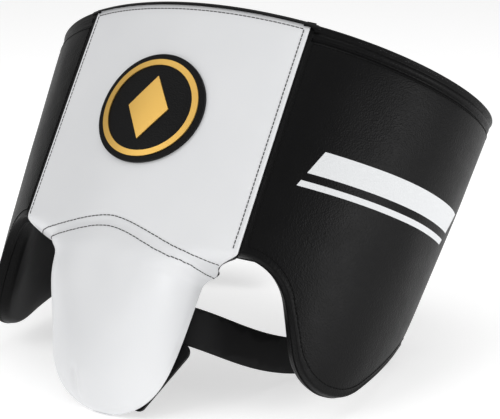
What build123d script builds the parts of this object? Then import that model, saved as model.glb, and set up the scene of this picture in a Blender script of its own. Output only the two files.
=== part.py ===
from build123d import *
import os
from math import asin, cos, degrees, radians, sin, sqrt

os.makedirs("parts", exist_ok=True)

# A boxer's groin protector. It is described as worn: the rim is at height 0, depths are measured
# down from it, -Y is the wearer's front and X the wearer's sides. At the end every piece leans
# back about X, to the pose in which the protector stands by itself on its pouch and hip corners.

# Padded shell: an upright, slightly tapered oval that leans forward towards its foot
rim_half_width = 194.0
rim_half_depth = 152.0
side_taper = 0.131          # each side draws in this much per unit of depth
front_lean = 0.140          # the oval moves forward this much per unit of depth
rim_dip = 11.0              # the rim is this much lower at the hips than at the front
rim_low_y = -12.0           # where the rim is lowest

# Layers, from the outside in
cover_thickness = 1.4
foam_thickness = 20.0
lining_thickness = 1.2
binding_thickness = 1.6

# Seams between the front panel and the wings
seam_half_width = 95.0      # from the centre to each seam, at the rim
seam_foot_half_width = 93.0 # and at its foot
seam_depth = 181.0          # where the seam ends, at the leg opening's highest point
flex_angle = 9.0            # opening of the wedge-shaped channel between the foam blocks
seam_clearance = 0.3
gusset_clearance = 0.2

# Pouch that holds the cup
pouch_half_width = 56.0
pouch_front_reach = 58.0    # from its open back to its front
pouch_back_y = -122.0
pouch_bottom = 308.0
pouch_narrowing = 0.20      # share of width lost towards the bottom
side_fullness = 5.5         # higher is squarer, seen from the front
front_fullness = 3.4        # higher is squarer, seen from the side
shoulder_top = 178.0        # the panel's oval starts to turn into the pouch
shoulder_bottom = 204.0     # and has become the pouch here
shoulder_steps = 6
fall_shares = [0.25, 0.5, 0.68, 0.8, 0.88, 0.94, 0.98, 0.997]
arch_top = 177.0            # depth of the arched seam between panel and pouch
arch_radius = 85.0
leg_arch_end_x = 58.0       # the leg opening's arch runs from the seam to the pouch's side
leg_arch_end_depth = seam_depth + 18.0
front_arch_radius = 47.0

# Hard cup inside the pouch
cup_inset = 10.0            # from the outside of the pouch
cup_wall = 3.0
cup_rise = 20.0             # it reaches up behind the panel, above the arched seam
cup_top_half_width = 50.0
cup_clearance = 0.15
flange_thickness = 3.0
vent_radius = 2.6
vent_spacing = 15.0
vent_rows = 5
vent_top_depth = 200.0

# Lower edge of the wings: leg arch, rounded lobe, rising flank, level foot, hip corner
leg_arch_turn = 45.0        # the thigh's direction, from the front towards the side
leg_arch_across = -10.2     # corners of the outline before rounding, across that direction
lobe_across = 25.2
leg_arch_depth = seam_depth - binding_thickness
leg_arch_radius = 44.0
lobe_depth = leg_arch_depth + 78.1
lobe_radius = 39.5
flank_y = -64.0
flank_radius = 50.0
foot_y = 12.5
foot_radius = 40.0
foot_depth = leg_arch_depth + 24.1
hip_corner_radius = 22.0
rim_corner_radius = 30.0
wing_end_angle = 130.0      # the wing's rear edge, round the oval from the front

# Waist belt halves, unfastened
belt_inset = 11.0
belt_thickness = 1.8
belt_top = 60.0
belt_height = 90.0
belt_stub = 3.0             # webbing between the wing's rear edge and the fold line
belt_fold_gap = 2.0
belt_end_angle = 169.0
patch_start_angle = 151.0
patch_end_angle = 168.0
patch_thickness = 1.6
patch_margin = 8.0

# Leg straps and the tab that they are sewn to
strap_width = 28.0
strap_thickness = 1.8
strap_start_x = 20.0
strap_turn_x = 46.0
strap_depth = 232.0         # its middle, at the tab
strap_low_angle = 98.5      # its lowest stretch, beside the leg
strap_low_depth = 230.0
strap_low_inset = 69.8
strap_land_angle = 119.0    # where it lands on the wing's inside
strap_end_angle = 124.0
strap_land_depth = 196.0
strap_end_depth = 184.0
strap_gap = 0.3
landing_gap = 1.2           # the strap's end hangs just off the anchor that it is sewn to
anchor_start_angle = 114.0
anchor_end_angle = 127.5
anchor_top = 164.0
anchor_foot = 200.0
anchor_thickness = 1.4
tab_half_width = 61.0
tab_foot_half_width = 30.0
tab_top = 246.0
tab_foot = 300.0
tab_thickness = 2.4
tab_corner = 6.0

# How far it leans back when it stands, in degrees
tilt_limits = (20.0, 40.0)
tilt_tolerance = 0.02

# Badge on the front panel
badge_depth = 88.0
badge_radius = 43.0
badge_thickness = 2.4
inlay_thickness = 1.0
ring_outer = 38.5
ring_inner = 34.0
diamond_half_width = 17.0
diamond_half_height = 25.0

# Sizes that follow from those above
wall = cover_thickness + foam_thickness + lining_thickness
foam_inner = cover_thickness + foam_thickness
cup_inner = cup_inset + cup_wall
headroom = 25.0
reach = 2.0 * rim_half_width + pouch_bottom
rim_run = rim_half_depth + rim_low_y
rim_radius = (rim_run**2 + rim_dip**2) / (2.0 * rim_dip)
seam_angle = degrees(asin(seam_half_width / rim_half_width))
seam_foot_angle = degrees(asin(seam_foot_half_width / (rim_half_width - side_taper * seam_depth)))
seam_drift = seam_foot_angle - seam_angle


def half_width(depth):
    """Half the oval's width at a depth."""
    return rim_half_width - side_taper * depth


def centre_y(depth):
    """The oval's centre at a depth."""
    return -front_lean * depth


def rim_level(y):
    """Height of the rim's curve."""
    return (y - rim_low_y) ** 2 / (2.0 * rim_radius) - rim_dip


def oval_point(angle, depth, inset=0.0):
    """Point on the oval, at an angle from the front towards the wearer's left."""
    turn = radians(angle)
    x = (half_width(depth) - inset) * sin(turn)
    y = centre_y(depth) - (rim_half_depth - inset) * cos(turn)
    return Vector(x, y, -depth)


def outward(angle):
    """Level direction that points straight out of the oval's rim."""
    turn = radians(angle)
    return Vector(sin(turn) / rim_half_width, -cos(turn) / rim_half_depth, 0).normalized()


def edge_plane(angle, inset=0.0, turn=0.0, drift=0.0):
    """Plane across the wall through two points of the oval; its local Y points forward."""
    top = oval_point(angle, 0, inset)
    foot = oval_point(angle + drift, seam_depth, inset)
    along = (top - foot).normalized()
    inward = outward(angle + drift / 2) * -1
    square = (inward - along * inward.dot(along)).normalized()
    bent = square * cos(radians(turn)) + along.cross(square) * sin(radians(turn))
    return Plane(origin=top, x_dir=bent, z_dir=along)


def behind(angle, turn=0.0, gap=0.0, drift=0.0):
    """Everything more than a gap behind an edge plane, on the wearer's left."""
    block = Box(2 * reach, reach, 2 * reach, align=(Align.CENTER, Align.MAX, Align.CENTER))
    return edge_plane(angle, turn=turn, drift=drift) * (Pos(0, -gap, 0) * block)


def behind_seam(turn, gap):
    """Everything more than a gap behind the seam, on the wearer's left."""
    return behind(seam_angle, turn, gap, seam_drift)


def level_band(top, bottom):
    """Everything between two depths."""
    slab = Box(2 * reach, 2 * reach, bottom - top, align=(Align.CENTER, Align.CENTER, Align.MAX))
    return Pos(0, 0, -top) * slab


def half_space(side):
    """Everything in front of the wearer, or with side -1 everything behind."""
    return Pos(0, -side * reach / 2, 0) * Box(2 * reach, reach, 2 * reach)


def oval_form(inset, extra=0.0):
    """The shell's oval, drawn in all round and filled."""
    ends = []
    for depth in (-headroom - extra, lobe_depth + headroom + extra):
        face = Ellipse(half_width(depth) - inset, rim_half_depth - inset)
        ends.append(Pos(0, centre_y(depth), -depth) * face)
    return loft(ends, ruled=True)


def oval_layer(outer, inner):
    """Ring between two insets of the oval."""
    return oval_form(outer) - oval_form(inner, headroom)


def above_rim(lowered=0.0):
    """Everything above the dipped rim."""
    roll = Rot(0, 90, 0) * Cylinder(rim_radius, 2 * reach)
    return Pos(0, rim_low_y, rim_radius - rim_dip - lowered) * roll


def smooth_step(share):
    """Eases from 0 to 1."""
    share = min(max(share, 0.0), 1.0)
    return share * share * (3.0 - 2.0 * share)


def fall_share(depth):
    """How far a depth is down the pouch, below its shoulders."""
    return max(0.0, (depth - shoulder_bottom) / (pouch_bottom - shoulder_bottom))


def front_section(depth, inset):
    """Level section of the front: an oval arc above, a deep U at the pouch, a blend between."""
    blend = smooth_step((depth - shoulder_top) / (shoulder_bottom - shoulder_top))
    share = fall_share(depth)
    narrow = (1 - pouch_narrowing * share) * sqrt(1 - share**side_fullness)
    shallow = sqrt(1 - share**front_fullness)
    overrun = seam_half_width + wall / 2
    oval_spread = asin(overrun / half_width(depth))
    oval_end_y = centre_y(depth) - rim_half_depth * cos(oval_spread)
    oval_front_y = centre_y(depth) - rim_half_depth
    pouch_front_y = pouch_back_y - pouch_front_reach * shallow
    end_x = overrun + (pouch_half_width * narrow - overrun) * blend
    end_y = oval_end_y + (pouch_back_y - oval_end_y) * blend
    front_y = oval_front_y + (pouch_front_y - oval_front_y) * blend
    spread = oval_spread + (radians(90) - oval_spread) * blend
    semi_y = (end_y - front_y) / (1 - cos(spread))
    middle_y = front_y + semi_y
    arc = EllipticalCenterArc(
        (0, 0),
        end_x / sin(spread) - inset * narrow,
        semi_y - inset * shallow,
        start_angle=270 - degrees(spread),
        arc_size=2 * degrees(spread),
    )
    back = Vector(0, rim_half_depth)
    rest = Polyline(arc @ 1, (arc @ 1) + back, (arc @ 0) + back, arc @ 0)
    return Pos(0, middle_y, inset * share - depth) * make_face([arc, rest])


def front_form(inset):
    """The front's outside below its shoulders, drawn in and filled towards the wearer."""
    shoulder = shoulder_bottom - shoulder_top
    depths = [shoulder_top + shoulder * step / shoulder_steps for step in range(shoulder_steps + 1)]
    depths += [shoulder_bottom + (pouch_bottom - shoulder_bottom) * share for share in fall_shares]
    return loft([front_section(depth, inset) for depth in depths], ruled=True)


def front_layer(outer, inner):
    """Wall of the front between two insets."""
    upper = oval_layer(outer, inner) & level_band(-headroom, shoulder_top)
    return upper + (front_form(outer) - front_form(inner))


def along_y(radius, depth, x=0.0):
    """A round bar from front to back."""
    return Pos(x, 0, -depth) * (Rot(90, 0, 0) * Cylinder(radius, 2 * reach))


def both_sides(shape):
    """A shape and its mirror image."""
    return shape + mirror(shape, about=Plane.YZ)


def leg_opening(edge=0.0):
    """What the leg openings take off the front panel, grown by the edge's thickness."""
    arch = RadiusArc(
        (leg_arch_end_x, -leg_arch_end_depth), (seam_half_width, -seam_depth), front_arch_radius
    )
    rest = Polyline(arch @ 1, (reach, -seam_depth), (reach, -reach), (leg_arch_end_x, -reach), arch @ 0)
    face = make_face([arch, rest])
    if edge:
        face = offset(face, amount=edge)
    prism = extrude(Plane.XZ * face, amount=reach, both=True)
    return both_sides(prism)


def open_back(edge=0.0):
    """What is cut away behind the pouch."""
    y = pouch_back_y - edge
    block = Box(2 * reach, reach, reach, align=(Align.CENTER, Align.MIN, Align.MAX))
    return Pos(0, y, -seam_depth) * block


def front_zone(edge=0.0, lowered=0.0):
    """Where the front body may be: between the seams, under the rim, clear of the legs."""
    zone = half_space(1) - both_sides(behind_seam(flex_angle / 2, -seam_clearance))
    zone -= above_rim(lowered)
    zone -= leg_opening(edge)
    return zone - open_back(edge)


def pouch_zone():
    """The pouch, below its arched seam."""
    return along_y(arch_radius, arch_top + arch_radius)


def cup_zone(clearance=0.0):
    """The pouch and the space behind the panel that the cup's top reaches into."""
    top = along_y(arch_radius + cup_rise + clearance, arch_top + arch_radius)
    width = 2 * (cup_top_half_width + clearance)
    return top & Box(width, 2 * reach, 2 * reach)


def make_cup():
    """Hard cup with a turned-out flange round its open back and vent holes in front."""
    cup = front_layer(cup_inset, cup_inner) & front_zone(binding_thickness) & cup_zone()
    flange = front_layer(cover_thickness, cup_inner) & flange_slab()
    cup = cup + flange
    for row in range(vent_rows):
        shift = vent_spacing / 2 * (row % 2)
        for column in (-1, 0, 1):
            hole = along_y(vent_radius, vent_top_depth + row * vent_spacing, column * vent_spacing + shift)
            cup -= hole
    return cup


def flange_slab():
    """The flange's place, just in front of the pouch's edge tape."""
    y = pouch_back_y - binding_thickness - flange_thickness
    block = Box(2 * reach, flange_thickness, reach, align=(Align.CENTER, Align.MIN, Align.MAX))
    return Pos(0, y, -shoulder_bottom) * block


def rounded(points, radii):
    """Closed outline with some corners rounded."""
    face = make_face(Polyline(*points, close=True))
    for point, radius in radii:
        corner = face.vertices().sort_by_distance((*point, 0))[0]
        face = fillet(corner, radius)
    return face


def prism(plane, face, amount, edge):
    """Bar with an outline as its section, grown by the edge's thickness."""
    if edge:
        face = offset(face, amount=edge)
    return extrude(plane * face, amount=amount)


def under_wing(edge=0.0):
    """What is cut away below a wing: the leg's arch in front, the rising flank behind."""
    arch = (leg_arch_across, -leg_arch_depth)
    lobe = (lobe_across, -lobe_depth)
    ends = [(reach, -lobe_depth), (reach, -reach), (-reach, -reach), (-reach, -leg_arch_depth)]
    front = rounded([arch, lobe] + ends, [(arch, leg_arch_radius), (lobe, lobe_radius)])
    turn = radians(leg_arch_turn)
    thigh = Plane(origin=(0, 0, 0), x_dir=(cos(turn), sin(turn), 0), z_dir=(sin(turn), -cos(turn), 0))
    flank = (flank_y, -lobe_depth)
    foot = (foot_y, -foot_depth)
    ends = [(reach, -foot_depth), (reach, -reach), (-reach, -reach), (-reach, -lobe_depth)]
    side = rounded([flank, foot] + ends, [(flank, flank_radius), (foot, foot_radius)])
    return prism(thigh, front, reach, edge) + prism(Plane.YZ, side, reach, edge)


def wing_end():
    """Plane across the wing's rear edge: its local X runs rearward and its local Y up."""
    out = outward(wing_end_angle)
    return Plane(origin=oval_point(wing_end_angle, 0), x_dir=(-out.Y, out.X, 0), z_dir=out)


def hip_corner():
    """The unrounded lower corner of the wing's rear edge, in that plane."""
    foot = wing_end().to_local_coords(oval_point(wing_end_angle, foot_depth))
    return foot.X, foot.Y


def off_corners(edge=0.0):
    """What rounding takes off the wing's two rear corners."""
    foot = hip_corner()
    top = (0, rim_level(oval_point(wing_end_angle, 0).Y))
    keep = [top, foot, (-reach, foot[1]), (-reach, top[1])]
    kept = rounded(keep, [(top, rim_corner_radius), (foot, hip_corner_radius)])
    field = Pos(0, -foot_depth / 2) * Rectangle(4 * rim_corner_radius, foot_depth + 4 * hip_corner_radius)
    waste = field - kept
    if edge:
        waste = offset(waste, amount=edge)
    return extrude(wing_end() * waste, amount=2 * wall, both=True)


def wing_zone(edge=0.0, lowered=0.0):
    """Where the wearer's left wing may be."""
    zone = behind_seam(-flex_angle / 2, seam_clearance)
    zone -= behind(wing_end_angle, gap=-edge)
    zone -= above_rim(lowered)
    zone -= under_wing(edge)
    return zone - off_corners(edge)


def cleaned(shape, name):
    """The one solid that a piece is."""
    solids = shape.solids().sort_by(SortBy.VOLUME)
    for spare in solids[:-1]:
        print(name, "drops", round(spare.volume, 3))
    return solids[-1]


front = {}
core = front_zone(binding_thickness, binding_thickness)
full = front_zone()
whole = front_layer(0, wall) & full
front["front_rim_binding"] = whole & above_rim(binding_thickness)
front["leg_and_pouch_binding"] = whole - above_rim(binding_thickness) - core
cover = front_layer(0, cover_thickness) & core
front["front_panel_cover"] = cover - pouch_zone()
front["pouch_cover"] = cover & pouch_zone()
pocket = front_layer(cup_inset - cup_clearance, cup_inner + cup_clearance) & cup_zone(cup_clearance)
foam = front_layer(cover_thickness, foam_inner) & core
front["front_foam"] = foam - pouch_zone() - pocket
front["pouch_foam"] = (front_layer(cover_thickness, cup_inset) & core & pouch_zone()) - flange_slab()
front["cup_shell"] = make_cup()
front["cup_pad"] = front_layer(cup_inner, foam_inner) & core & pouch_zone()
lining = front_layer(foam_inner, wall) & core
front["front_lining"] = lining - pouch_zone()
front["pouch_lining"] = lining & pouch_zone()


def make_tab():
    """Tab across the foot of the pouch's open back."""
    top = (tab_half_width, -tab_top)
    foot = (tab_foot_half_width, -tab_foot)
    points = [top, foot, (-foot[0], foot[1]), (-top[0], top[1])]
    face = rounded(points, [(point, tab_corner) for point in points])
    back = Plane(origin=(0, pouch_back_y + tab_thickness, 0), x_dir=(1, 0, 0), z_dir=(0, -1, 0))
    return extrude(back * face, amount=tab_thickness)


def make_badge():
    """Round badge with a raised ring and a plain diamond."""
    base = front_layer(-badge_thickness, 0) & along_y(badge_radius, badge_depth) & core
    raised = front_layer(-badge_thickness - inlay_thickness, 0) - base
    ring = core & raised & (along_y(ring_outer, badge_depth) - along_y(ring_inner, badge_depth))
    corners = [(diamond_half_width, 0), (0, diamond_half_height), (-diamond_half_width, 0)]
    corners.append((0, -diamond_half_height))
    face = Pos(0, -badge_depth) * make_face(Polyline(*corners, close=True))
    diamond = core & raised & extrude(Plane.XZ * face, amount=reach)
    return base, ring, diamond


front["crotch_tab"] = make_tab()
front["badge_base"], front["badge_ring"], front["badge_diamond"] = make_badge()


def edge_points(angle, depth, inset, slope):
    """Upper and lower point of a strap on the oval's inside, for a strap that slopes."""
    half = strap_width / 2
    middle = oval_point(angle, depth, inset)
    along = (oval_point(angle + 1, depth, inset) - middle).normalized()
    lean = radians(slope)
    points = []
    for side in (half, -half):
        level = depth - side * cos(lean)
        shift = along * (-side * sin(lean))
        points.append(oval_point(angle, level, inset) + shift)
    return points


def make_strap():
    """Leg strap: from behind the tab, back beside the leg, up to the wing's inside."""
    half = strap_width / 2
    back_y = pouch_back_y + tab_thickness + strap_gap + strap_thickness / 2
    inset = wall + anchor_thickness + landing_gap + strap_thickness / 2
    upper = []
    lower = []
    for x, y in ((strap_start_x, back_y), (strap_turn_x, back_y)):
        upper.append(Vector(x, y, -strap_depth + half))
        lower.append(Vector(x, y, -strap_depth - half))
    turn = oval_point(strap_low_angle, strap_low_depth, strap_low_inset)
    upper.append(turn + Vector(0, 0, half))
    lower.append(turn - Vector(0, 0, half))
    for angle, depth in ((strap_land_angle, strap_land_depth), (strap_end_angle, strap_end_depth)):
        high, low = edge_points(angle, depth, inset, 25)
        upper.append(high)
        lower.append(low)
    ribbon = Face.make_surface_from_curves(Spline(*upper), Spline(*lower))
    return thicken(ribbon, amount=strap_thickness / 2, both=True)


left = {}
left["leg_strap"] = make_strap()

wing_core = wing_zone(binding_thickness, binding_thickness)
wing_full = wing_zone()
ring = oval_layer(0, wall) & wing_full
left["wing_rim_binding"] = ring & above_rim(binding_thickness)
left["wing_edge_binding"] = ring - above_rim(binding_thickness) - wing_core
left["wing_cover"] = oval_layer(0, cover_thickness) & wing_core
left["wing_foam"] = oval_layer(cover_thickness, foam_inner) & wing_core
left["wing_lining"] = oval_layer(foam_inner, wall) & wing_core

channel = behind_seam(flex_angle / 2, gusset_clearance - seam_clearance)
channel -= behind_seam(-flex_angle / 2, seam_clearance - gusset_clearance)
channel -= above_rim(binding_thickness)
channel = channel & level_band(0, leg_arch_depth) & half_space(1)
left["flex_gusset"] = oval_layer(foam_inner, wall) & channel

anchor = oval_layer(wall, wall + anchor_thickness) & level_band(anchor_top, anchor_foot)
anchor = (anchor & behind(anchor_start_angle)) - behind(anchor_end_angle)
left["strap_anchor"] = anchor

web = oval_layer(belt_inset, belt_inset + belt_thickness)
band = level_band(belt_top, belt_top + belt_height) & half_space(-1)
fold = belt_stub + belt_fold_gap
left["belt_stub"] = (web & band & behind(wing_end_angle)) - behind(wing_end_angle, gap=belt_stub)
left["waist_belt"] = (web & band & behind(wing_end_angle, gap=fold)) - behind(belt_end_angle)
patch_band = level_band(belt_top + patch_margin, belt_top + belt_height - patch_margin)
patch_place = (patch_band & behind(patch_start_angle)) - behind(patch_end_angle)
hook = oval_layer(belt_inset + belt_thickness, belt_inset + belt_thickness + patch_thickness)
loop = oval_layer(belt_inset - patch_thickness, belt_inset)

pieces = dict(front)
for name, shape in left.items():
    pieces[name + "_left"] = shape
    pieces[name + "_right"] = mirror(shape, about=Plane.YZ)
pieces["hook_patch"] = hook & patch_place
pieces["loop_patch"] = mirror(loop & patch_place, about=Plane.YZ)


def lowest(shape, tilt):
    """Lowest point of a shape once it leans back."""
    return (Rot(-tilt, 0, 0) * shape).bounding_box(optimal=True).min.Z


def stand_tilt():
    """Lean at which the pouch's foot and the hips' rounded corners stand level."""
    low, high = tilt_limits
    while high - low > tilt_tolerance:
        tilt = (low + high) / 2
        on_hips = lowest(pieces["wing_edge_binding_left"], tilt)
        if on_hips < lowest(pieces["leg_and_pouch_binding"], tilt):
            high = tilt
        else:
            low = tilt
    return tilt


tilt = stand_tilt()
leaning = Rot(-tilt, 0, 0)
box = Compound([leaning * shape for shape in pieces.values()]).bounding_box(optimal=True)
stand = Pos(-box.center().X, -box.center().Y, -box.min.Z) * leaning
for name, shape in pieces.items():
    solid = cleaned(shape, name)
    export_step(stand * solid, "parts/" + name + ".step")
print("tilt", tilt, "shift", -box.center().X, -box.center().Y, -box.min.Z)
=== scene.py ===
from math import asin, copysign, cos, exp, pi, radians, sin, sqrt

import bmesh
import bpy
from mathutils import Matrix, Vector, noise
from mathutils.bvhtree import BVHTree
from mathutils.kdtree import KDTree


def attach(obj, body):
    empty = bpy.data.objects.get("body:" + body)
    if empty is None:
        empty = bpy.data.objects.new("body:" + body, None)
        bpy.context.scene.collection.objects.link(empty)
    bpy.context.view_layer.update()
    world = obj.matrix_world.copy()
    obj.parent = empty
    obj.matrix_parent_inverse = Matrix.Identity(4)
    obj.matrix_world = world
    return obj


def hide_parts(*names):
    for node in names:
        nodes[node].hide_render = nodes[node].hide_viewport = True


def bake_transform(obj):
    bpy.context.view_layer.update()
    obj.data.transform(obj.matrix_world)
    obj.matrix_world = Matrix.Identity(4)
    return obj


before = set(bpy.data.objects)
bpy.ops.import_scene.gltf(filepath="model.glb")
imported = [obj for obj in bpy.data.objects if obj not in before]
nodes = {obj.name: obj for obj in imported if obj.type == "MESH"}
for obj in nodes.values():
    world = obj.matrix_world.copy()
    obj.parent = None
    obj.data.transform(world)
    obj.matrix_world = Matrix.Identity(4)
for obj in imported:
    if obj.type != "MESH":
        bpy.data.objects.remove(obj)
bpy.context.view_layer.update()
scene = bpy.context.scene
sides = ((1, "left"), (-1, "right"))
print("frame loaded")


# The shell as it is worn, in mm: x to the wearer's left, y backwards, depth down from the rim's level.
# Angles run round the oval from the middle of the front.
oval = {"halfWidth": 194, "halfDepth": 152, "taper": 0.131, "lean": 0.14, "radius": 175, "rearRadius": 168}
rim = {"dip": 11, "lowY": -12, "radius": 896.4, "span": 190, "fade": 60}
seam = {"rimX": 95, "footX": 93, "depth": 181, "deepest": 190, "gap": 0.35, "gapSlope": 0.055}
seamHinge = {"depth": 90, "beside": (1.6, 0.8)}
stand = {"tilt": radians(29.59), "y": 100.742, "z": 207.369}  # how it leans and where it stands
wall = 22.6  # the padding, from skin to lining
seamAngle = asin(seam["rimX"] / oval["halfWidth"])
rearAngle = radians(130)
offPrint = 10  # a UV far away from the printed stripes


def toRow(x, y, z):
    c, s = cos(stand["tilt"]), sin(stand["tilt"])
    return Vector((x, y * c + z * s + stand["y"], -y * s + z * c + stand["z"])) * 0.001


def smooth(share):
    share = min(max(share, 0), 1)
    return share * share * (3 - 2 * share)


def mix(a, b, share):
    return a + (b - a) * share


# 1 over a stretch of depths, easing in from its start and out from its stop
def within(depth, start, rise, stop, fall):
    return smooth((depth - start) / rise) * (1 - smooth((depth - stop) / fall))


def ridge(away, width):
    return exp(-(away / width) ** 2)


def ripple(x, y, depth, across, down):
    return noise.noise(Vector((x / across, y / across, depth / down)))


def ovalPoint(angle, depth, inset):
    x = (oval["halfWidth"] - oval["taper"] * depth - inset) * sin(angle)
    y = -oval["lean"] * depth - (oval["halfDepth"] - inset) * cos(angle)
    return x, y, -depth


def rimDepth(angle):
    y = -oval["halfDepth"] * cos(angle)
    return rim["dip"] - (y - rim["lowY"]) ** 2 / (2 * rim["radius"])


def rimOver(x):
    return rimDepth(asin(min(1, abs(x) / rim["span"])))


# The rim's dip, fading out further down the front
def rimLift(x, depth):
    return rimOver(x) * (1 - smooth(depth / rim["fade"]))


# The seam's angle; it runs straight from the rim to the leg opening
def seamAt(depth):
    x = mix(seam["rimX"], seam["footX"], depth / seam["depth"])
    return asin(x / (oval["halfWidth"] - oval["taper"] * depth))


# How far an edge rounded to radius r has fallen away, e mm in from it
def roundOff(e, r):
    return 0 if e >= r else r - sqrt(max(0, r * r - (r - e) ** 2))


# The wedge of free space beside a seam, n mm in from the skin, that lets the wing flex
def flexBack(n, depth):
    return seam["gap"] + n * seam["gapSlope"] if depth < seam["depth"] else 0


# Two places on either side of a hinge line
def besideHinge(side, place, dx, dy):
    x, y, z = place
    return toRow(side * (x - dx), y - dy, z), toRow(side * (x + dx), y + dy, z)


def besideSeam(side, inset):
    depth = seamHinge["depth"]
    return besideHinge(side, ovalPoint(seamAt(depth), depth, inset), *seamHinge["beside"])


def finishMesh(bm, name, materials, doubles=0.00002):
    bmesh.ops.remove_doubles(bm, verts=bm.verts, dist=doubles)
    mesh = bpy.data.meshes.new(name)
    bm.to_mesh(mesh)
    bm.free()
    mesh.shade_smooth()
    obj = bpy.data.objects.new(name, mesh)
    scene.collection.objects.link(obj)
    for material in materials:
        mesh.materials.append(material)
    return obj


def thicken(obj, thickness, offset, even):
    solid = obj.modifiers.new("thickness", "SOLIDIFY")
    solid.thickness = thickness * 0.001
    solid.offset = offset
    solid.use_even_offset = even
    return obj


def refine(obj):
    rounded = obj.modifiers.new("smooth", "SUBSURF")
    rounded.levels = 1
    rounded.render_levels = 1
    return obj


# Open surface through rows of (point, u, v), turned to face away from a centre inside the shell
def surface(name, rows, material, centre=(0, -20, -110)):
    bm = bmesh.new()
    uv = bm.loops.layers.uv.new("surface")
    grid = [[bm.verts.new(entry[0]) for entry in row] for row in rows]
    turned = 0
    middle = toRow(*centre)
    for i in range(len(rows) - 1):
        for j in range(len(rows[0]) - 1):
            corners = [(i, j), (i + 1, j), (i + 1, j + 1), (i, j + 1)]
            face = bm.faces.new([grid[a][b] for a, b in corners])
            for loop, (a, b) in zip(face.loops, corners):
                loop[uv].uv = rows[a][b][1:]
            face.normal_update()
            turned += face.normal.dot(face.calc_center_median() - middle)
    if turned <= 0:
        bmesh.ops.reverse_faces(bm, faces=bm.faces)
    return finishMesh(bm, name, [material])


# Closed pad through rings of (point, u, v, material). A ring runs across the skin, round one side,
# back across the lining and round the other side, with the same count of points between each time.
def paddedBody(name, rings, across, between, capMaterial, materials):
    bm = bmesh.new()
    uv = bm.loops.layers.uv.new("surface")
    grid = [[bm.verts.new(entry[0]) for entry in ring] for ring in rings]
    total = len(rings[0])
    back = 2 * across + between - 1

    def addFace(corners, material):
        face = bm.faces.new([grid[a][b] for a, b in corners])
        face.material_index = material
        for loop, (a, b) in zip(face.loops, corners):
            loop[uv].uv = rings[a][b][1:3]

    for i in range(len(rings) - 1):
        for j in range(total):
            k = (j + 1) % total
            kinds = (rings[i][j][3], rings[i][k][3])
            addFace([(i, j), (i + 1, j), (i + 1, k), (i, k)], 2 if 2 in kinds else min(kinds))
    for i in (0, len(rings) - 1):
        for j in range(across - 1):
            addFace([(i, j), (i, j + 1), (i, back - j - 1), (i, back - j)], capMaterial)
        if between:
            addFace([(i, j) for j in range(across - 1, across + between + 1)], capMaterial)
            addFace([(i, 0)] + [(i, total - 1 - k) for k in range(between + 1)], capMaterial)
    bmesh.ops.recalc_face_normals(bm, faces=bm.faces)
    return finishMesh(bm, name, materials)


# A node's value, so that sums of values read as sums
class Wire:
    def __init__(self, finish, socket):
        self.finish = finish
        self.socket = socket

    def math(self, operation, first, second):
        return self.finish.node("ShaderNodeMath", {"operation": operation}, {0: first, 1: second})

    def __add__(self, other):
        return self.math("ADD", self, other)

    def __radd__(self, other):
        return self.math("ADD", other, self)

    def __mul__(self, other):
        return self.math("MULTIPLY", self, other)

    def __rmul__(self, other):
        return self.math("MULTIPLY", other, self)

    def __gt__(self, other):
        return self.math("GREATER_THAN", self, other)

    def __lt__(self, other):
        return self.math("LESS_THAN", self, other)


class Finish:
    def __init__(self, name, colour, roughness, more=None):
        self.material = bpy.data.materials.new(name)
        self.material.use_nodes = True
        self.tree = self.material.node_tree
        self.shader = self.tree.nodes["Principled BSDF"]
        self.set("Base Color", colour)
        self.set("Roughness", roughness)
        for socket, value in (more or {}).items():
            self.set(socket, value)

    def plug(self, value, socket):
        if isinstance(value, Wire):
            self.tree.links.new(value.socket, socket)
        elif socket.type == "RGBA":
            socket.default_value = (*value[:3], 1)
        else:
            socket.default_value = value

    def node(self, kind, settings, sockets, output=0):
        node = self.tree.nodes.new(kind)
        for key, value in settings.items():
            setattr(node, key, value)
        for key, value in sockets.items():
            self.plug(value, node.inputs[key])
        return Wire(self, node.outputs[output])

    def set(self, socket, value):
        self.plug(value, self.shader.inputs[socket])

    def place(self, kind):
        return self.node("ShaderNodeTexCoord", {}, {}, kind)

    def noise(self, scale, detail=2):
        sockets = {"Vector": self.place("Object"), "Scale": scale, "Detail": detail}
        return self.node("ShaderNodeTexNoise", {}, sockets, "Fac")

    def cells(self, scale, feature="F1"):
        sockets = {"Vector": self.place("Object"), "Scale": scale}
        return self.node("ShaderNodeTexVoronoi", {"feature": feature}, sockets, "Distance")

    # inputs 6 and 7 and output 2 are the colours of a Mix node
    def blend(self, share, first, second):
        return self.node("ShaderNodeMix", {"data_type": "RGBA"}, {0: share, 6: first, 7: second}, 2)

    def bump(self, height, distance, strength):
        sockets = {"Height": height, "Distance": distance, "Strength": strength}
        self.set("Normal", self.node("ShaderNodeBump", {}, sockets, "Normal"))


def whiteLeather():
    f = Finish("whiteLeather", (0.7, 0.705, 0.715), 0.42)
    f.set("Base Color", f.blend(f.noise(18), (0.67, 0.678, 0.692), (0.73, 0.735, 0.745)))
    f.set("Roughness", 0.36 + f.noise(60) * 0.14)
    f.bump(f.cells(1300, "SMOOTH_F1") * 0.6 + f.noise(500) * 0.4, 0.00012, 0.35)
    return f.material


# Starts, stops and widths in metres along the wing's skin and down it; the lean is a slope
stripes = {
    "lean": 0.45, "start": 0.170, "stop": 0.352, "thick": (0.094, 0.112), "thin": (0.118, 0.1225),
    "colour": (0.66, 0.67, 0.68),
}


def blackLeather(name):
    f = Finish(name, (0.003, 0.003, 0.0032), 0.4, {"Specular IOR Level": 0.1})
    colour = f.blend(f.noise(25), (0.0024, 0.0024, 0.0026), (0.004, 0.0039, 0.0041))
    f.set("Base Color", colour)
    f.set("Roughness", 0.36 + f.noise(80) * 0.12)
    f.bump(f.cells(1000, "SMOOTH_F1") * 0.8 + f.noise(420, 3) * 0.5, 0.00036, 0.75)
    return f, colour


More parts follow.
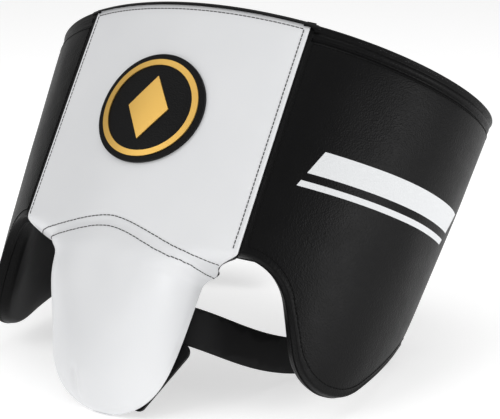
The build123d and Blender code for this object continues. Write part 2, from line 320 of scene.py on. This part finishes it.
def printedLeather():
    f, leather = blackLeather("blackLeatherPrinted")
    uv = f.place("UV")
    along = f.node("ShaderNodeSeparateXYZ", {}, {0: uv}, 0)
    down = f.node("ShaderNodeSeparateXYZ", {}, {0: uv}, 1)
    slanted = along + down * stripes["lean"]
    run = (slanted > stripes["start"]) * (slanted < stripes["stop"])
    thick = (down > stripes["thick"][0]) * (down < stripes["thick"][1])
    thin = (down > stripes["thin"][0]) * (down < stripes["thin"][1])
    f.set("Base Color", f.blend(run * (thick + thin), leather, stripes["colour"]))
    return f.material


def liningCloth():
    f = Finish("liningCloth", (0.007, 0.007, 0.0075), 0.62, {"Specular IOR Level": 0.2})
    f.bump(f.cells(900), 0.0002, 0.4)
    return f.material


def elasticWeb():
    f = Finish("elasticWeb", (0.007, 0.007, 0.0075), 0.72, {"Specular IOR Level": 0.2})
    down = f.node("ShaderNodeSeparateXYZ", {}, {0: f.place("UV")}, 1)
    ribs = down.math("SINE", down * 4200, 0) * 0.5 + 0.5
    f.bump(ribs + f.noise(1500) * 0.5, 0.0002, 0.6)
    return f.material


def goldTrim():
    f = Finish("goldTrim", (0.62, 0.38, 0.09), 0.38, {"Metallic": 0.75})
    f.bump(f.noise(900), 0.0001, 0.3)
    return f.material


looks = {
    "white": whiteLeather(),
    "black": blackLeather("blackLeather")[0].material,
    "printed": printedLeather(),
    "lining": liningCloth(),
    "elastic": elasticWeb(),
    "gold": goldTrim(),
    "blackThread": Finish("blackThread", (0.015, 0.015, 0.016), 0.6).material,
    "darkThread": Finish("darkThread", (0.004, 0.004, 0.004), 0.7, {"Specular IOR Level": 0.08}).material,
    "hook": Finish("hookTape", (0.02, 0.02, 0.021), 0.7).material,
    "loop": Finish("loopTape", (0.025, 0.025, 0.027), 0.95).material,
    "cup": Finish("cupPlastic", (0.6, 0.6, 0.58), 0.5).material,
    "foam": Finish("foam", (0.3, 0.3, 0.31), 0.9).material,
}
print("materials made")


# The front pad: the white panel and the pouch below it. A place on it is u, -1 to 1 from edge to edge,
# and a depth.
front = {
    "step": 3.6, "corner": 3.0, "edges": (0.05, 0.5, 1.5, 3.0, 6), "inner": 52,
    "between": (0.25, 0.42, 0.58, 0.75),
    "shoulder": (178, 204), "legSlope": 1.83, "fullness": 0.14, "overrun": 106.3, "fullHalf": 40,
    "puff": 1.3, "puffReach": 13, "groove": 1.3, "grooveWidth": 1.9, "bulge": 0.8,
    "waves": 0.7, "waveSize": (34, 55), "pucker": 0.28, "puckerSize": (5.5, 5.5),
    "swells": (178, 22, 212, 50), "shoulders": (183, 8, 203, 10), "widens": (190.5, 4.5),
    "sideBulge": 0.9, "shoulderBulge": 2.6, "shoulderFill": 3.5,
}
pouch = {
    "halfWidth": 56, "backY": -122, "reach": 58, "foot": 308, "taper": 0.2,
    "widthPower": 5.5, "reachPower": 3.4, "puff": 1.7, "fade": (300, 20),
}
arch = {"top": 174.7, "drop": 18.8, "reach": 0.9, "power": 1.5}
badge = {"depth": 88, "radius": 43, "margin": 16}
tuck = {"depth": 292, "x": -5, "lean": 0.14, "hollow": 2.6, "lip": 1.1, "stretch": (277, 8, 298, 7)}
frontCount = 2 * len(front["edges"]) + front["inner"] - 1


def frontEdgeX(depth, endX, pouchX):
    if depth <= seam["depth"]:
        return mix(seam["rimX"], seam["footX"], depth / seam["depth"])
    line = seam["footX"] - (depth - seam["depth"]) * front["legSlope"]
    return max(min(line, endX), min(endX, pouchX))


# The level curve at a depth: part of an oval that turns from the shell's into the pouch's
def frontShape(depth):
    top, foot = front["shoulder"]
    blend = smooth((depth - top) / (foot - top))
    share = max(0, (depth - foot) / (pouch["foot"] - foot))
    narrow = (1 - pouch["taper"] * share) * sqrt(max(0, 1 - share ** pouch["widthPower"]))
    shallow = sqrt(max(0, 1 - share ** pouch["reachPower"]))
    pouchX = pouch["halfWidth"] * narrow
    shellSpread = asin(front["overrun"] / (oval["halfWidth"] - oval["taper"] * depth))
    lean = -oval["lean"] * depth
    endX = mix(front["overrun"], pouchX, blend)
    endY = mix(lean - oval["halfDepth"] * cos(shellSpread), pouch["backY"], blend)
    frontY = mix(lean - oval["halfDepth"], pouch["backY"] - pouch["reach"] * shallow, blend)
    spread = mix(shellSpread, pi / 2, blend)
    semiX = endX / sin(spread)
    semiY = (endY - frontY) / (1 - cos(spread))
    edge = min(spread, asin(min(1, frontEdgeX(depth, endX, pouchX) / semiX)))
    start, run = front["widens"]
    return {
        "semiX": semiX, "semiY": semiY, "midY": frontY + semiY, "spread": spread,
        "edge": mix(edge, spread, smooth((depth - start) / run)),
        "narrow": narrow, "shallow": shallow, "share": share,
        "full": front["fullness"] * within(depth, *front["swells"]),
    }


def frontPoint(u, depth, inset, shape):
    angle = u * shape["edge"]
    swell = 1 + shape["full"] * sin(pi * angle / shape["spread"]) ** 2 * max(0, 1 - inset / 14)
    endY = shape["midY"] - shape["semiY"] * cos(shape["spread"])
    x = (shape["semiX"] - inset * shape["narrow"]) * sin(angle) * swell
    y = endY + (shape["midY"] - (shape["semiY"] - inset * shape["shallow"]) * cos(angle) - endY) * swell
    return x, y, inset * shape["share"] - depth


def frontHalfLength(shape):
    edge = shape["edge"]
    steps = 12
    total = 0
    for k in range(steps):
        a = edge * (k + 0.5) / steps
        total += sqrt((shape["semiX"] * cos(a)) ** 2 + (shape["semiY"] * sin(a)) ** 2) * edge / steps
    return total


# The arched seam between the panel and the pouch
def archDepth(u):
    return arch["top"] + arch["drop"] * sin(pi / 2 * min(1, abs(u) / arch["reach"])) ** arch["power"]


# How far the skin lies in (+) or stands out (-) from the plain form, e mm from the side edge
def frontRelief(u, x, y, depth, e):
    overArch = (archDepth(u) - depth) * 0.95
    near = min(e, abs(overArch) * 1.3, max(0, depth - rimOver(x)) + 1)
    puff = mix(front["puff"], pouch["puff"], smooth(-overArch / 30))
    away = sqrt(x * x + (depth - badge["depth"]) ** 2) - badge["radius"]
    if away < badge["margin"]:
        puff *= smooth(away / badge["margin"] + 0.1)
    relief = puff * exp(-near / front["puffReach"])
    relief += front["groove"] * ridge(overArch, front["grooveWidth"])
    relief -= front["waves"] * ripple(x, y, depth, *front["waveSize"]) * (1 - exp(-near / 20))
    pucker = front["pucker"] * ripple(x, y, depth, *front["puckerSize"])
    relief += pucker * exp(-min(abs(overArch), e) / 7)
    across = x - tuck["x"] + (depth - tuck["depth"]) * tuck["lean"]
    fold = tuck["hollow"] * ridge(across, 2.2) - tuck["lip"] * ridge(across - 5, 3.5)
    return relief + within(depth, *tuck["stretch"]) * fold


def frontSpot(u, depth, n, shape):
    lift = rimLift(frontPoint(u, depth, 0, shape)[0], depth)
    x, y, z = frontPoint(u, depth, n, shape)
    return toRow(x, y, z - lift)


# One level ring; material 0 is the skin, 1 the lining and 2 the sides
def frontRing(depth):
    corner = front["corner"]
    shape = frontShape(depth + 0.01)
    half = frontHalfLength(shape)
    scale = min(1, half / front["fullHalf"])
    edges = [1 - e * scale / half for e in front["edges"]]
    inner = [edges[-1] * (1 - 2 * (k + 1) / front["inner"]) for k in range(front["inner"] - 1)]
    us = [-u for u in edges] + inner[::-1] + edges[::-1]
    topFall = roundOff(depth, corner)
    shoulder = within(depth, *front["shoulders"])

    def edgeAway(u):
        return (1 - abs(u)) * half / max(scale, 0.05)

    def sidePart(sign, shares):
        part = []
        for share in shares:
            bulge = front["sideBulge"] + front["shoulderBulge"] * shoulder
            out = 1 + bulge * sin(pi * share) * scale / half
            back = flexBack(share * wall, depth) * scale / half
            n = mix(topFall, wall - topFall, share)
            part.append((frontSpot(sign * (out - back), depth, n, shape), sign * out, offPrint, 2))
        return part

    skin = []
    for u in us:
        n = max(roundOff(edgeAway(u), corner), topFall)
        if n < 0.01:
            x, y = frontPoint(u, depth, 0, shape)[:2]
            stop, fade = pouch["fade"]
            n = frontRelief(u, x, y, depth, edgeAway(u)) * min(1, (stop - min(depth, stop)) / fade + 0.3)
        skin.append((frontSpot(u, depth, n, shape), u * half * 0.001, depth * 0.001, 0))
    lining = []
    for u in reversed(us):
        e = edgeAway(u)
        back = flexBack(wall, depth) * scale / half * abs(u) ** 3
        n = wall - max(roundOff(e, corner) * (1 - shoulder), topFall)
        n += front["shoulderFill"] * shoulder * smooth((abs(u) - 0.5) / 0.25)
        n += front["bulge"] * (1 - exp(-e / 12)) if depth > 6 else 0
        lining.append((frontSpot(u - copysign(back, u), depth, n, shape), u, offPrint, 1))
    return skin + sidePart(1, front["between"]) + lining + sidePart(-1, front["between"][::-1])


frontDepths = [0.0, 0.25, 0.8, 1.8, front["corner"], 5, 8]
frontDepths += [8 + k * front["step"] for k in range(1, 45)]
frontDepths += list(range(168, 300, 3)) + [300, 302.5, 304.5, 306, 307, 307.6]
frontRings = [frontRing(depth) for depth in frontDepths]

panelLooks = [looks["white"], looks["lining"], looks["black"]]
frontPad = refine(paddedBody("frontPad", frontRings, frontCount, len(front["between"]), 2, panelLooks))
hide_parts("front_panel_cover", "pouch_cover", "front_foam", "pouch_foam")
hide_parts("front_lining", "pouch_lining")
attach(frontPad, "front")

# A plug in the pouch's foot, wider than the last ring across and a little less deep
plug = {"spread": Vector((1.3, 0.94, 0.94)), "height": 4, "sink": 0.12}
footRim = [Vector(entry[0]) for entry in frontRings[-1][:frontCount]]
footMiddle = sum(footRim, Vector()) / len(footRim)
upwards = toRow(0, 0, 1) - toRow(0, 0, 0)
bm = bmesh.new()
for place in footRim:
    bm.verts.new(footMiddle + (place - footMiddle) * plug["spread"] - upwards * plug["sink"])
bm.faces.new(bm.verts)
raised = bmesh.ops.extrude_face_region(bm, geom=bm.faces[:])["geom"]
raised = [part for part in raised if isinstance(part, bmesh.types.BMVert)]
bmesh.ops.translate(bm, verts=raised, vec=upwards * (plug["height"] + plug["sink"]))
bmesh.ops.recalc_face_normals(bm, faces=bm.faces)
pouchFoot = finishMesh(bm, "pouchFoot", [looks["white"]])
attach(pouchFoot, "front")
print("front pad made")


# The wings. Each one's foot line is, place by place, the higher of two outlines: the leg arch and lobe
# seen along the thigh, and the flank seen from the side.
wing = {
    "corner": 3.4, "rows": 56, "columns": 92, "puff": 1.8, "puffReach": 15,
    "waves": 0.9, "waveSize": (42, 60), "pucker": 0.3, "puckerSize": (5.2, 5.2),
    "groove": 2.4, "band": 11.6, "foldGroove": 1.5, "foldBand": 5.4, "seamGroove": 0.9,
    "thin": 7.5, "bulge": 0.8, "topRadius": 30, "footRadius": 22, "rearRun": 24, "rearDepths": (34, 181),
    "topDrops": (3.4, 4.3, 5.2, 6.1, 7.5, 9, 10.2, 11, 11.8, 12.6, 13.6, 15, 18),
    "footDrops": (12, 8, 5.5, 3.4),
}
lobe = {"depth": 257.5, "radius": 39.5, "startW": 14.7, "startDepth": 234.3, "middleW": 50.7}
thigh = {"crownW": -38.6, "crown": 179.4, "radius": 44, "endW": 1.5, "endDepth": 205.3}
flank = {"startY": -79.9, "radius": 50, "lineY": (-51.0, 2.1), "slope": 0.7059, "levelY": -64}
hip = {"y": 25.2, "radius": 40, "depth": 203.5}


def thighDepth(w):
    if w <= thigh["crownW"]:
        return thigh["crown"]
    if w <= thigh["endW"]:
        drop = sqrt(thigh["radius"] ** 2 - (w - thigh["crownW"]) ** 2)
        return thigh["crown"] + thigh["radius"] - drop
    if w <= lobe["startW"]:
        share = (w - thigh["endW"]) / (lobe["startW"] - thigh["endW"])
        return mix(thigh["endDepth"], lobe["startDepth"], share)
    if w <= lobe["middleW"]:
        drop = sqrt(max(0, lobe["radius"] ** 2 - (w - lobe["middleW"]) ** 2))
        return lobe["depth"] - lobe["radius"] + drop
    return lobe["depth"]


def flankDepth(y):
    if y <= flank["startY"]:
        return lobe["depth"]
    if y <= flank["lineY"][0]:
        drop = sqrt(flank["radius"] ** 2 - (y - flank["startY"]) ** 2)
        return lobe["depth"] - flank["radius"] + drop
    if y <= flank["lineY"][1]:
        return lobe["depth"] - (y - flank["levelY"]) * flank["slope"]
    if y <= hip["y"]:
        return hip["depth"] + hip["radius"] - sqrt(hip["radius"] ** 2 - (y - hip["y"]) ** 2)
    return hip["depth"]


def rearAway(angle):
    return (rearAngle - angle) * oval["rearRadius"]


# How far the shell's angles turn to follow the seam, fading out behind it
def seamShift(angle, depth):
    shift = seamAt(min(max(depth, 0), seam["deepest"])) - seamAngle
    return shift * (1 - smooth(angle - seamAngle))


# The foot line crosses a leaning shell, so its depth is found by closing in on it
def footDepth(angle):
    depth = 220
    for _ in range(24):
        x, y = ovalPoint(angle + seamShift(angle, depth), depth, 0)[:2]
        want = min(thighDepth((x + y) / sqrt(2)), flankDepth(y))
        depth = mix(depth, want, 0.6)
    return depth - roundOff(rearAway(angle), wing["footRadius"])


def topDepth(angle):
    return rimDepth(angle) + roundOff(rearAway(angle), wing["topRadius"])


def wingAngles():
    run = wing["rearRun"]
    angles = [seamAngle + e / oval["radius"] for e in (0.3, 1.0, 2.0, 3.4, 5.5)]
    start, stop = angles[-1], rearAngle - run / oval["rearRadius"]
    angles += [mix(start, stop, k / wing["columns"]) for k in range(1, wing["columns"] + 1)]
    for k in range(1, 13):
        e = run * (1 - sin(pi / 2 * k / 12))
        angles.append(rearAngle - max(e, 0.12) / oval["rearRadius"])
    return angles


# The wing's outline laid flat, for a place's distance from the nearest edge
def wingOutline(count=300):
    outline = KDTree(3 * count)
    for k in range(count):
        angle = mix(seamAngle, rearAngle, k / (count - 1))
        rear = mix(*wing["rearDepths"], k / (count - 1))
        ends = ((angle, topDepth(angle)), (angle, footDepth(angle)), (rearAngle, rear))
        for i, (turn, depth) in enumerate(ends):
            outline.insert(Vector((turn * oval["radius"], depth, 0)), 3 * k + i)
    outline.balance()
    return outline


outline = wingOutline()


def wingRelief(angle, depth, top):
    away = (angle - seamAngle) * oval["radius"]
    near = min(outline.find(Vector((angle * oval["radius"], depth, 0)))[2], away)
    x, y = ovalPoint(angle, depth, 0)[:2]
    relief = wing["puff"] * exp(-near / wing["puffReach"])
    relief += wing["groove"] * ridge(depth - top - wing["band"], 1.5)
    relief += wing["foldGroove"] * ridge(depth - top - wing["foldBand"], 1.0)
    relief += wing["seamGroove"] * exp(-away / 2.2)
    relief -= wing["waves"] * ripple(x, y, depth, *wing["waveSize"]) * (1 - exp(-near / 20))
    pucker = wing["pucker"] * ripple(x, y, depth, *wing["puckerSize"])
    return relief + pucker * exp(-near / 8)


def wingPoint(angle, depth, n, side):
    x, y, z = ovalPoint(angle + seamShift(angle, depth), depth, n)
    return toRow(x * side, y, z)


# The padding's edge from the middle of its thickness to the skin, as (mm outwards, mm inwards)
wingEdge = [(1.0, 0.44 * wall), (0.8, 0.32 * wall), (0.4, 0.22 * wall)]
for turn in (0, 30, 60):
    wingEdge.append((wing["corner"] * (cos(radians(turn)) - 1), wing["corner"] * (1 - sin(radians(turn)))))


def wingRing(angle, side):
    top, foot = topDepth(angle), footDepth(angle)
    along = angle * oval["radius"] * 0.001
    away = (angle - seamAngle) * oval["radius"]
    rear = rearAway(angle)
    squeeze = roundOff(rear, wing["corner"])
    if squeeze < 0.01:
        squeeze = None
    first, last = top + wing["topDrops"][-1], foot - wing["footDrops"][0]
    rows = [top + drop for drop in wing["topDrops"]]
    rows += [mix(first, last, (k + 1) / (wing["rows"] + 1)) for k in range(wing["rows"])]
    rows += [foot - drop for drop in wing["footDrops"]]
    places = [(top - out, n) for out, n in wingEdge] + [(depth, None) for depth in rows]
    places += [(foot + out, n) for out, n in reversed(wingEdge)]

    def spot(depth, n):
        shift = flexBack(n, 0) * exp(-away / 14) / oval["radius"]
        return wingPoint(angle + shift, depth, n, side)

    skin = []
    for depth, n in places:
        v = depth * 0.001 if n is None else offPrint
        if n is None:
            n = 0 if squeeze else wingRelief(angle, depth, top)
        if squeeze:
            n = max(n, squeeze)
        skin.append((spot(depth, n), along, v, 0))
    lining = []
    for depth, n in reversed(places):
        material = 1 if n is None else 0
        if n is None:
            n = -wing["bulge"] * (1 - exp(-min(away, rear, foot - depth, depth - top) / 12))
        if squeeze:
            n = max(n, squeeze)
        n = wall - n - wing["thin"] * exp(-max(0, foot - depth) / 16) * smooth(away / 14)
        lining.append((spot(depth, n), along, offPrint, material))
    return skin + lining


wingPads = {}
for side, word in sides:
    rings = [wingRing(angle, side) for angle in wingAngles()]
    skin = looks["printed"] if side == 1 else looks["black"]
    pad = refine(paddedBody("wingPad_" + word, rings, len(rings[0]) // 2, 0, 0, [skin, looks["lining"]]))
    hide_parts("wing_cover_" + word, "wing_foam_" + word, "wing_lining_" + word)
    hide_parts("wing_rim_binding_" + word, "wing_edge_binding_" + word)
    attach(pad, "wing_" + word)
    wingPads[side] = pad
print("wings made")


# The black strip over the front's rim; profiles run from skin to lining, as (mm down, mm inwards)
rimGusset = {
    "reach": 0.992, "columns": 60, "thickness": 0.7, "centre": (0, -140, -60),
    "profile": ((3.4, -0.5), (2.2, -0.25), (1.0, 0.5), (0.2, 1.7), (-0.5, 4), (-1.0, 8), (-1.2, 11.3),
                (-1.0, 14.6), (-0.5, 18.6), (0.2, 20.9), (1.0, 22.1), (2.2, 22.9), (3.4, 23.2)),
}
rows = []
for k in range(rimGusset["columns"] + 1):
    u = mix(-rimGusset["reach"], rimGusset["reach"], k / rimGusset["columns"])
    row = []
    for depth, n in rimGusset["profile"]:
        below = max(depth, 0)
        shape = frontShape(below)
        lift = rimLift(frontPoint(u, below, 0, shape)[0], below)
        drawnIn = u * (1 - flexBack(max(n, 0), 0) / seam["rimX"])
        x, y, z = frontPoint(drawnIn, below, n, shape)
        row.append((toRow(x, y, -depth - lift), u, n * 0.001))
    rows.append(row)
gusset = surface("frontRimGusset", rows, looks["black"], rimGusset["centre"])
refine(thicken(gusset, rimGusset["thickness"], 1, True))
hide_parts("front_rim_binding")
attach(gusset, "front")

# The binding down one leg opening, round the pouch's foot and up the other; its profile is
# (mm in from the edge, mm inwards)
legBinding = {
    "thickness": 0.6, "centre": (0, -150, -245),
    "profile": ((0.6, 2.2), (0.1, 3.0), (-0.4, 4.2), (-0.7, 6), (-0.9, 8.4), (-1.0, 11.3),
                (-0.9, 16.6), (-0.3, 20.2), (0.5, 22.1), (1.4, 22.9), (2.6, 23.3)),
}
depths = [181.5 + k * 1.8 for k in range(11)] + [202 + k * 4 for k in range(25)] + [302, 304.5, 306.3, 307.4]
rows = []
for sign, depth in [(1, d) for d in depths] + [(-1, d) for d in reversed(depths)]:
    shape = frontShape(depth)
    half = frontHalfLength(shape)
    scale = min(1, half / front["fullHalf"])
    row = []
    for e, n in legBinding["profile"]:
        u = sign * (1 - e * scale / half)
        row.append((toRow(*frontPoint(u, depth, n, shape)), depth * 0.001, n * 0.001))
    rows.append(row)
binding = surface("legAndPouchBinding", rows, looks["black"], legBinding["centre"])
refine(thicken(binding, legBinding["thickness"], 1, True))
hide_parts("leg_and_pouch_binding")
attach(binding, "front")


# A short fold over the rim where a wing meets the front
rimFold = {
    "across": (-4.5, 7.5), "columns": 10, "thickness": 0.5, "centre": (0, -100, -60), "hinge": (5, 8),
    "profile": ((4.2, -0.3), (2.4, -0.1), (1.1, 0.7), (0.4, 2.0), (0, 4.5), (-0.4, 8), (-0.5, 11.3),
                (-0.4, 14.6), (0, 18.1), (0.4, 20.6), (1.1, 21.9), (2.4, 22.7), (4.2, 23.0)),
}


def rimFoldRows(side):
    rows = []
    for k in range(rimFold["columns"] + 1):
        across = mix(*rimFold["across"], k / rimFold["columns"])
        pinch = max(0, abs(2 * k / rimFold["columns"] - 1) - 0.7) * 4
        row = []
        for depth, n in rimFold["profile"]:
            depth = mix(depth, 4.2, pinch * 0.4)
            n = mix(n, 11.3, pinch * 0.09)
            angle = seamAngle + across * (1 + max(n, 0) * 0.02) / oval["radius"]
            x, y, z = ovalPoint(angle, rimDepth(angle) + depth, n)
            row.append((toRow(x * side, y, z), across * 0.001, n * 0.001))
        rows.append(row)
    return rows


# A strip just behind each seam, against light through the wedge of space; it stops short of the foot
backing = {
    "depths": (2, 179), "inset": 2.6, "halfWidth": 3.2, "widening": 5, "widens": (156, 18), "thickness": 0.8,
    "columns": 12, "rows": 60,
}


def backingRows(side):
    rows = []
    start, run = backing["widens"]
    for k in range(backing["columns"] + 1):
        row = []
        for j in range(backing["rows"] + 1):
            depth = mix(*backing["depths"], j / backing["rows"])
            halfWidth = backing["halfWidth"] + backing["widening"] * smooth((depth - start) / run)
            across = mix(-halfWidth, halfWidth, k / backing["columns"])
            x, y, z = ovalPoint(seamAt(depth) + across / oval["radius"], depth, backing["inset"])
            row.append((toRow(x * side, y, z), across * 0.001, depth * 0.001))
        rows.append(row)
    return rows


for side, word in sides:
    fold = surface("rimFold_" + word, rimFoldRows(side), looks["black"], rimFold["centre"])
    refine(thicken(fold, rimFold["thickness"], 1, True))
    start, end = besideHinge(side, ovalPoint(seamAngle, *rimFold["hinge"]), 2.6, 1.4)
    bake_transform(fold)

    strip = surface("seamBacking_" + word, backingRows(side), looks["black"])
    thicken(strip, backing["thickness"], 0, False)
    start, end = besideSeam(side, backing["inset"])
    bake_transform(strip)
print("bindings made")


# The thread, in mm: one stitch is a straight run with a narrower tip at each end
stitch = {
    "pitch": 3.3, "length": 2.8, "radius": 0.36, "sides": 6, "straight": 0.6, "endWidth": 0.55,
    "proud": 0.1, "easing": 14,
}
# How far each row runs from the edge or band that it follows
rowAway = {"rim": 5.6, "seam": 4.6, "arch": 3.5, "wingRim": 2.6, "wingFoot": 6.5}


def oneStitch():
    radius, length = stitch["radius"] * 0.001, stitch["length"] * 0.001
    bm = bmesh.new()
    bmesh.ops.create_cone(
        bm, cap_ends=True, segments=stitch["sides"], radius1=radius, radius2=radius,
        depth=length * stitch["straight"],
    )
    caps = [face for face in bm.faces if len(face.verts) == stitch["sides"]]
    for cap in bmesh.ops.extrude_discrete_faces(bm, faces=caps)["faces"]:
        reach = copysign(length * (1 - stitch["straight"]) / 2, cap.calc_center_median().z)
        bmesh.ops.translate(bm, verts=cap.verts, vec=(0, 0, reach))
        bmesh.ops.scale(bm, verts=cap.verts, vec=(stitch["endWidth"], stitch["endWidth"], 1))
    mesh = bpy.data.meshes.new("oneStitch")
    bm.to_mesh(mesh)
    bm.free()
    return mesh


# Evenly spaced (place, direction) along a line of points
def alongLine(line, steps):
    lengths = [0]
    for a, b in zip(line, line[1:]):
        lengths.append(lengths[-1] + (b - a).length)
    spots = []
    k = 0
    for step in range(steps):
        want = lengths[-1] * (step + 0.5) / steps
        while k < len(line) - 2 and lengths[k + 1] < want:
            k += 1
        share = (want - lengths[k]) / max(1e-9, lengths[k + 1] - lengths[k])
        spots.append((line[k].lerp(line[k + 1], share), (line[k + 1] - line[k]).normalized()))
    return spots


# Stitches along lines of points, laid on a pad's finished skin
def stitches(name, lines, pad, material):
    graph = bpy.context.evaluated_depsgraph_get()
    graph.update()
    skin = BVHTree.FromObject(pad, graph)
    shape = oneStitch()
    bm = bmesh.new()
    for line in lines:
        run = sum((b - a).length * 1000 for a, b in zip(line, line[1:]))
        for at, ahead in alongLine(line, max(1, int(run / stitch["pitch"]))):
            place, normal = skin.find_nearest(at)[:2]
            sideways = normal.cross(ahead).normalized()
            turn = Matrix((-normal, sideways, sideways.cross(normal).normalized())).transposed().to_4x4()
            piece = shape.copy()
            piece.transform(Matrix.Translation(place + normal * stitch["proud"] * 0.001) @ turn)
            bm.from_mesh(piece)
            bpy.data.meshes.remove(piece)
    bpy.data.meshes.remove(shape)
    bmesh.ops.recalc_face_normals(bm, faces=bm.faces)
    return finishMesh(bm, name, [material], 0.0000001)


def frontLine(entries):
    points = []
    for u, depth in entries:
        x, y, z = frontPoint(u, depth, -1, frontShape(depth))
        points.append(toRow(x, y, z - rimLift(x, depth)))
    return points


def seamU(depth, away):
    return 1 - away / frontHalfLength(frontShape(depth))


def archLine(away):
    us = [mix(-0.985, 0.985, k / 80) for k in range(81)]
    return frontLine([(u, archDepth(u) - away) for u in us])


def eased(points, passes):
    for _ in range(passes):
        middle = [(a + b * 2 + c) / 4 for a, b, c in zip(points, points[1:], points[2:])]
        points = points[:1] + middle + points[-1:]
    return points


lines = [frontLine([(mix(-0.95, 0.95, k / 60), rowAway["rim"]) for k in range(61)])]
for sign in (1, -1):
    lines.append(frontLine([(sign * seamU(depth, rowAway["seam"]), depth) for depth in range(6, 178, 3)]))
for sign in (1, -1):
    lines.append(eased(archLine(sign * rowAway["arch"]), stitch["easing"]))
frontThread = stitches("frontStitching", lines, frontPad, looks["blackThread"])
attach(frontThread, "front")

for side, word in sides:
    angles = [mix(seamAngle + 0.03, rearAngle - 0.1, k / 120) for k in range(121)]
    seamRow = seamAngle + rowAway["seam"] / oval["radius"]
    lines = [
        [wingPoint(angle, topDepth(angle) + wing["band"] + rowAway["wingRim"], -1, side) for angle in angles],
        [wingPoint(angle, footDepth(angle) - rowAway["wingFoot"], -1, side) for angle in angles],
        [wingPoint(seamRow, depth, -1, side) for depth in range(8, 176, 3)],
    ]
    wingThread = stitches("wingStitching_" + word, lines, wingPads[side], looks["darkThread"])
    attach(wingThread, "wing_" + word)
print("stitching made")


# The straps, the lining over the seams and the belts
legStrap = {"start": (50, -110, -235), "end": (122, 34, -196)}  # the two ends of a stretch of the strap, in mm
liningInset = 0.6
belt = {
    "depths": (60, 143.5), "inset": 11.9, "thickness": 1.8, "start": rearAngle - radians(1.6),
    "stop": radians(169), "fold": radians(131.3), "foldDepth": 105, "columns": 48, "rows": 24,
}


# A node's own solid with its corners joined, in a finish of its own; the node itself is hidden
def bendingCopy(node, name, material):
    bm = bmesh.new()
    bm.from_mesh(nodes[node].data)
    bmesh.ops.remove_doubles(bm, verts=bm.verts, dist=0.00001)
    copy = finishMesh(bm, name, [material])
    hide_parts(node)
    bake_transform(copy)


def beltRows(side):
    rows = []
    for k in range(belt["columns"] + 1):
        angle = mix(belt["start"], belt["stop"], k / belt["columns"])
        row = []
        for j in range(belt["rows"] + 1):
            depth = mix(*belt["depths"], j / belt["rows"])
            along = angle * oval["rearRadius"] * 0.001
            row.append((wingPoint(angle, depth, belt["inset"], side), along, depth * 0.001))
        rows.append(row)
    return rows


for side, word in sides:
    elastic, lining = looks["elastic"], looks["lining"]
    start, end = [toRow(side * x, y, z) for x, y, z in (legStrap["start"], legStrap["end"])]
    bendingCopy("leg_strap_" + word, "legStrap_" + word, elastic)
    start, end = besideSeam(side, wall - liningInset)
    seamLining = "seamLining_" + word
    bendingCopy("flex_gusset_" + word, seamLining, lining)
    half = thicken(surface("waistBelt_" + word, beltRows(side), elastic), belt["thickness"], 0, False)
    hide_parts("waist_belt_" + word, "belt_stub_" + word)
    start, end = besideHinge(side, ovalPoint(belt["fold"], belt["foldDepth"], belt["inset"]), -1.5, 1.5)
    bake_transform(half)
print("straps made")


# Finishes of the solids that scene.py leaves in their own shape
shown = {
    "badge_base": "black", "badge_ring": "gold", "badge_diamond": "gold", "crotch_tab": "black",
    "strap_anchor_left": "black", "strap_anchor_right": "black", "hook_patch": "hook",
    "loop_patch": "loop", "cup_shell": "cup", "cup_pad": "foam",
}
for node, look in shown.items():
    mesh = nodes[node].data
    mesh.materials.clear()
    mesh.materials.append(looks[look])
print("finishes set")


# Floor, light and camera
studio = {"floorHalf": 20, "floorGlow": 0.5, "sky": 0.46, "lit": (0, 0, 0.15)}
bm = bmesh.new()
bmesh.ops.create_grid(bm, x_segments=1, y_segments=1, size=studio["floorHalf"])
glow = {"Emission Color": (1, 1, 1), "Emission Strength": studio["floorGlow"]}
floor = finishMesh(bm, "floor", [Finish("paleFloor", (0.8, 0.8, 0.8), 0.9, glow).material])

world = bpy.data.worlds.new("studio")
scene.world = world
world.use_nodes = True
world.node_tree.nodes["Background"].inputs["Color"].default_value = (1, 1, 1, 1)
world.node_tree.nodes["Background"].inputs["Strength"].default_value = studio["sky"]

lamps = {
    "key": {"at": (-0.9, -1.6, 1.5), "size": 1.4, "power": 15.5},
    "side": {"at": (2.1, -0.1, 0.55), "size": 1.0, "power": 20.5},
    "top": {"at": (0.2, 0.4, 2.2), "size": 1.6, "power": 8},
}
for name, lamp in lamps.items():
    light = bpy.data.lights.new(name, "AREA")
    light.size = lamp["size"]
    light.energy = lamp["power"]
    obj = bpy.data.objects.new(name, light)
    obj.location = lamp["at"]
    aim = Vector(studio["lit"]) - Vector(lamp["at"])
    obj.rotation_euler = aim.to_track_quat("-Z", "Y").to_euler()
    scene.collection.objects.link(obj)

view = {
    "azimuth": radians(30.58), "elevation": radians(17.8), "roll": radians(-0.6), "away": 0.973,
    "lens": 83.886, "sensor": 36, "shift": (0.03857, 0.0706), "target": (0, 0, -150),
}
around, up = view["azimuth"], view["elevation"]
towards = Vector((sin(around) * cos(up), -cos(around) * cos(up), sin(up)))
roll = Matrix.Rotation(view["roll"], 3, "Z").to_quaternion()
camera = bpy.data.objects.new("camera", bpy.data.cameras.new("camera"))
camera.data.lens = view["lens"]
camera.data.sensor_width = view["sensor"]
camera.data.shift_x, camera.data.shift_y = view["shift"]
camera.data.clip_start = 0.01
camera.location = toRow(*view["target"]) + towards * view["away"]
camera.rotation_euler = (towards.to_track_quat("Z", "Y") @ roll).to_euler()
scene.collection.objects.link(camera)
scene.camera = camera
scene.view_settings.view_transform = "Standard"
